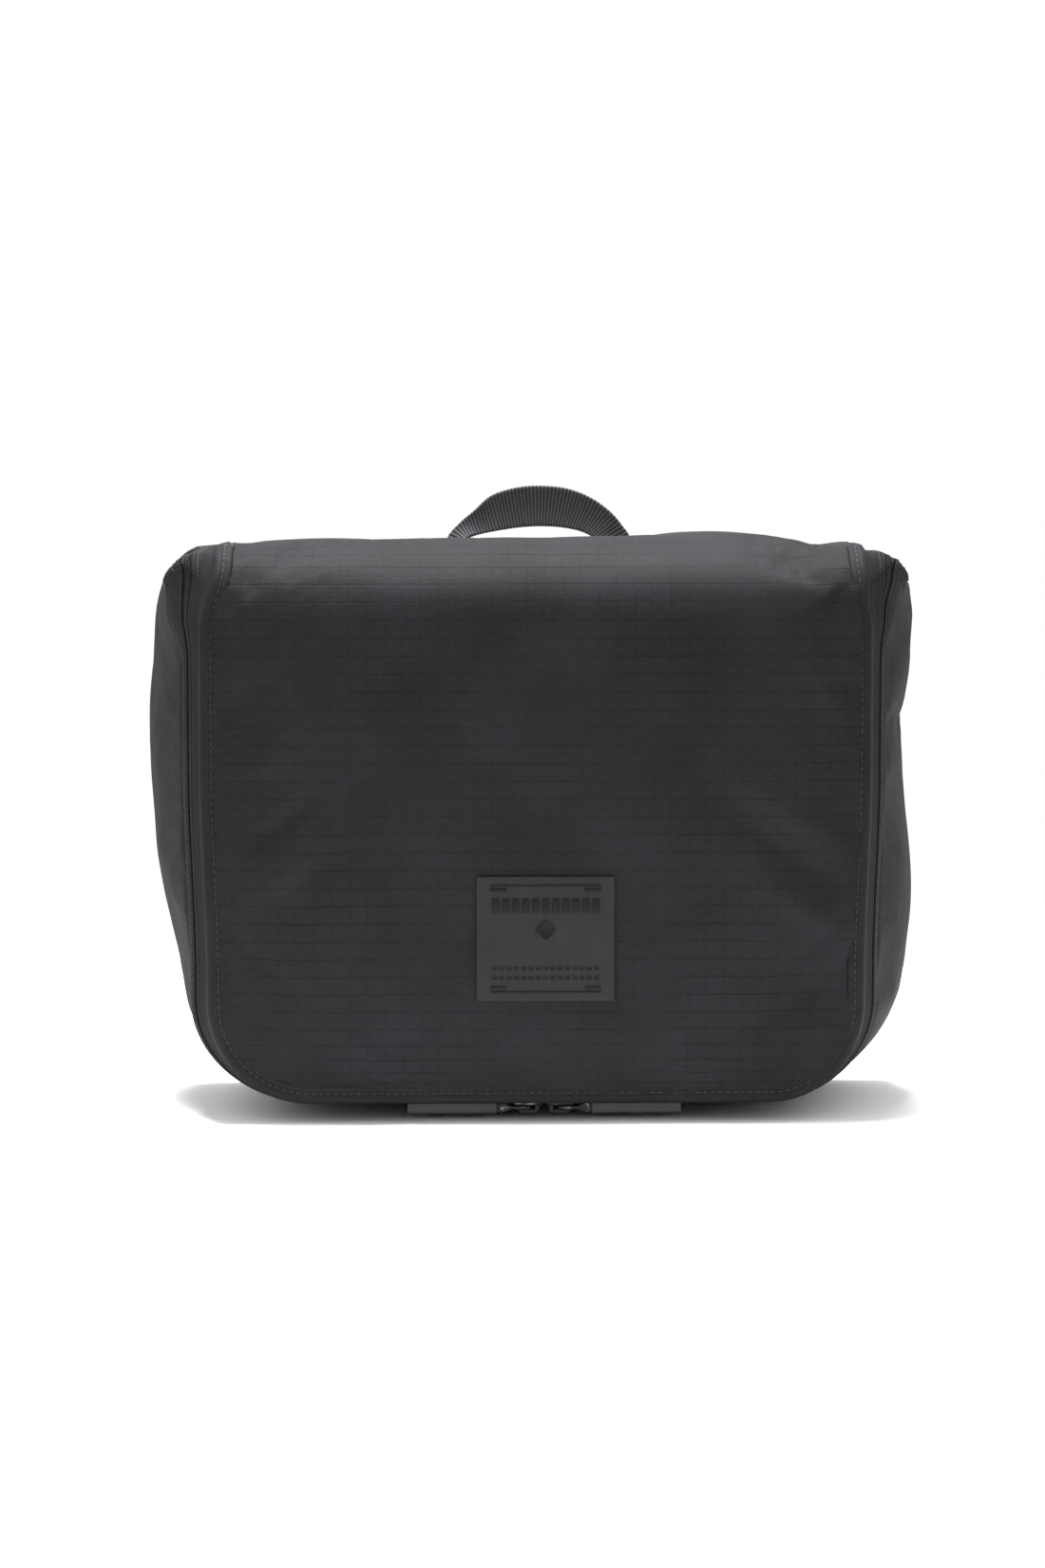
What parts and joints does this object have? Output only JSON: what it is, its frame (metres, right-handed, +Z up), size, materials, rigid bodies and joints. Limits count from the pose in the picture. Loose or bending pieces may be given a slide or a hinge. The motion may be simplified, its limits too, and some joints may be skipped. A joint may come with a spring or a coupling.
{
  "type": "hanging toiletry bag",
  "caption": "Soft toiletry bag with a zipped fold-over cover, meeting sliders with bar pulls, webbing grab handle and an inner hook to hang it open.",
  "frame": {"origin": "middle of the base of the closed, standing bag, on the surface it stands on", "axes": "+Z up, -Y towards the front cover, +X to the right seen from the front"},
  "size_m": [0.267, 0.0996, 0.217],
  "materials": {
    "front_cloth": "ripstop weave, slight sheen",
    "gusset_cloth": "ripstop weave, slight sheen",
    "zip_tape": "twill tape",
    "zip_coil": "satin nylon",
    "lining": "plain weave lining",
    "foam": "soft foam sheet",
    "mesh": "open mesh",
    "elastic": "ribbed elastic",
    "webbing": "ribbed webbing",
    "patch_rubber": "matte moulded rubber",
    "black_metal": "black coated metal",
    "bar_plastic": "matte moulded plastic",
    "hook_plastic": "satin moulded plastic"
  },
  "bodies": {
    "bag": {"body_gusset": "gusset_cloth", "back_panel": "gusset_cloth", "body_zip_tape": "zip_tape", "body_zip_coil": "zip_coil", "body_lining": "lining", "back_pocket_mesh": "mesh", "back_pocket_elastic": "elastic", "elastic_loop_band": "elastic", "hinge_seam_binding": "lining", "zip_end_tabs": "zip_tape", "handle_sewn_ends": "webbing"},
    "cover_top": {"cover_top_panel": "front_cloth", "cover_top_lining": "lining", "cover_top_zip_tape": "zip_tape", "cover_top_zip_coil": "zip_coil"},
    "cover_front": {"cover_front_panel": "front_cloth", "cover_foam": "foam", "cover_lining": "lining", "cover_front_zip_tape": "zip_tape", "cover_front_zip_coil": "zip_coil", "rubber_patch": "patch_rubber", "cover_pocket_mesh": "mesh", "cover_pocket_zip_tape": "zip_tape", "cover_pocket_zip_coil": "zip_coil", "hook_webbing_tab": "webbing"},
    "slider_left": {"zip_slider_left": "black_metal"},
    "slider_right": {"zip_slider_right": "black_metal"},
    "link_left": {"pull_link_left": "black_metal", "pull_rivet_left": "black_metal"},
    "link_right": {"pull_link_right": "black_metal", "pull_rivet_right": "black_metal"},
    "bar_left": {"pull_bar_left": "bar_plastic"},
    "bar_right": {"pull_bar_right": "bar_plastic"},
    "handle": {"grab_handle": "webbing"},
    "hook_base": {"hook_swivel_base": "hook_plastic"},
    "hook": {"hanging_hook": "hook_plastic"},
    "pocket_slider": {"cover_pocket_slider": "black_metal"},
    "pocket_pull": {"cover_pocket_pull": "black_metal"}
  },
  "joints": [
    {"name": "cover_hinge", "type": "hinge", "parent": "bag", "child": "cover_top", "pos_m": [0, 0.0475, 0.198], "axis": [-1, 0, 0], "range_deg": [0, 90]},
    {"name": "front_fold", "type": "hinge", "parent": "cover_top", "child": "cover_front", "pos_m": [0, -0.04331, 0.19331], "axis": [-1, 0, 0], "range_deg": [0, 90]},
    {"name": "hook_fold", "type": "hinge", "parent": "cover_front", "child": "hook_base", "pos_m": [0, -0.036, 0.027], "axis": [-1, 0, 0], "range_deg": [0, 180]},
    {"name": "hook_swivel", "type": "hinge", "parent": "hook_base", "child": "hook", "pos_m": [0, -0.036, 0.035], "axis": [0, 0, -1], "range_deg": [0, 90]},
    {"name": "left_slider_run", "type": "slide", "parent": "bag", "child": "slider_left", "axis": [-1, 0, 0], "range_m": [0, 0.062]},
    {"name": "right_slider_run", "type": "slide", "parent": "bag", "child": "slider_right", "axis": [1, 0, 0], "range_m": [0, 0.062]},
    {"name": "left_link_turn", "type": "hinge", "parent": "slider_left", "child": "link_left", "pos_m": [-0.0054, -0.03824, 0.00381], "axis": [0, -0.9958, 0.091], "range_deg": [0, 110]},
    {"name": "right_link_turn", "type": "hinge", "parent": "slider_right", "child": "link_right", "pos_m": [0.0054, -0.03824, 0.00381], "axis": [0, 0.9958, -0.091], "range_deg": [0, 110]},
    {"name": "left_bar_turn", "type": "hinge", "parent": "link_left", "child": "bar_left", "pos_m": [-0.0147, -0.03824, 0.00381], "axis": [0, -0.9958, 0.091], "range_deg": [0, 60]},
    {"name": "right_bar_turn", "type": "hinge", "parent": "link_right", "child": "bar_right", "pos_m": [0.0147, -0.03824, 0.00381], "axis": [0, 0.9958, -0.091], "range_deg": [0, 60]},
    {"name": "handle_turn", "type": "hinge", "parent": "bag", "child": "handle", "pos_m": [0, 0.05, 0.19], "axis": [-1, 0, 0], "range_deg": [-3, 90]},
    {"name": "pocket_slider_run", "type": "slide", "parent": "cover_front", "child": "pocket_slider", "axis": [-1, 0, 0], "range_m": [0, 0.16]},
    {"name": "pocket_pull_turn", "type": "hinge", "parent": "pocket_slider", "child": "pocket_pull", "pos_m": [0.082, -0.0386, 0.157], "axis": [0, 0, -1], "range_deg": [0, 100]}
  ],
  "couplings": [
    {"joint": "hook_fold", "follows": "front_fold", "ratio": 2},
    {"joint": "hook_swivel", "follows": "front_fold", "ratio": 1}
  ]
}
